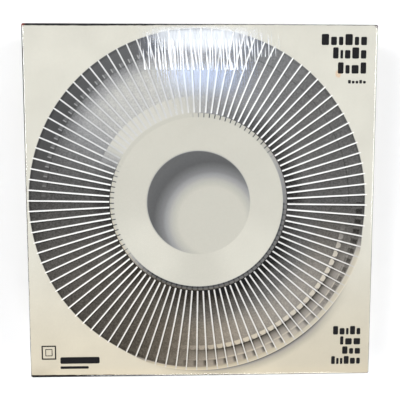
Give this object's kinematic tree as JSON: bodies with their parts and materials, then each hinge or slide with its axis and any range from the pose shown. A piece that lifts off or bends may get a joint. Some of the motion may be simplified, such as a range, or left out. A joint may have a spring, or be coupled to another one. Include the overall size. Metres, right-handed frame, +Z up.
{
  "type": "boxed rotary slide tray",
  "caption": "Round slide tray for a rotary slide projector, with dividers, gear, gate plate, index lock and locking ring, packed in a printed two-piece carton under clear film.",
  "frame": {"origin": "centre of the closed carton's underside, on the tray's axis", "axes": "+Z up along the tray's axis and out of the printed face, +Y towards the top of the artwork, +X to the artwork's right"},
  "size_m": [0.2606, 0.2656, 0.0623],
  "materials": {
    "carton": "printed folding boxboard, aged cream",
    "greyboard": "plain glued tabs",
    "label_paper": "ruled index sheet",
    "shrink_film": "clear shrink film",
    "zinc_steel": "zinc-plated pressed steel",
    "spring_steel": "spring steel",
    "black_plastic": "moulded black polystyrene",
    "white_plastic": "natural acetal",
    "ivory_plastic": "moulded ivory polystyrene",
    "red_plastic": "pointer inlay",
    "felt": "thin felt"
  },
  "bodies": {
    "carton_base": {"base_board": "carton", "base_corner_tabs": "greyboard", "base_film": "shrink_film"},
    "carton_lid": {"lid_board": "carton", "lid_corner_tabs": "greyboard", "index_label": "label_paper", "lid_film": "shrink_film"},
    "index_plate": {"index_plate": "zinc_steel", "plate_collar": "zinc_steel", "plate_rivets": "zinc_steel", "collar_clip": "spring_steel", "lock_pivot_pin": "zinc_steel"},
    "index_lock": {"lock_lever": "spring_steel", "lock_knob": "white_plastic"},
    "tray": {"hub_sleeve": "black_plastic", "hub_lugs": "black_plastic", "hub_wall": "black_plastic", "hub_deck": "black_plastic", "hub_ribs": "black_plastic", "gear_bosses": "black_plastic", "divider_fins": "black_plastic", "slide_stops": "black_plastic", "rim_ring": "black_plastic", "index_gear": "white_plastic", "gear_screws": "zinc_steel"},
    "retaining_ring": {"retaining_ring": "ivory_plastic", "ring_pegs": "ivory_plastic", "home_pointer": "red_plastic"},
    "lock_collar": {"lock_collar": "ivory_plastic", "collar_lugs": "ivory_plastic", "collar_grips": "ivory_plastic", "friction_washer": "felt"}
  },
  "joints": [
    {"name": "lid_lift", "type": "slide", "parent": "carton_base", "child": "carton_lid", "axis": [0, 0, 1], "range_m": [0, 0.3]},
    {"name": "tray_lift", "type": "slide", "parent": "carton_base", "child": "index_plate", "axis": [0, 0, 1], "range_m": [0, 0.1]},
    {"name": "tray_spin", "type": "hinge", "parent": "index_plate", "child": "tray", "pos_m": [0, 0, 0.03], "axis": [0, 0, 1], "continuous": true},
    {"name": "ring_lift", "type": "slide", "parent": "tray", "child": "retaining_ring", "axis": [0, 0, 1], "range_m": [0, 0.05]},
    {"name": "collar_turn", "type": "hinge", "parent": "retaining_ring", "child": "lock_collar", "pos_m": [0, 0, 0.058], "axis": [0, 0, 1], "range_deg": [0, 60]},
    {"name": "index_lock_turn", "type": "hinge", "parent": "index_plate", "child": "index_lock", "pos_m": [-0.01478, -0.04575, 0.0041], "axis": [0, 0, -1], "range_deg": [0, 7]}
  ],
  "couplings": [
    {"joint": "tray_lift", "follows": "lid_lift", "ratio": 0.3333},
    {"joint": "ring_lift", "follows": "lid_lift", "ratio": 0.1666}
  ]
}
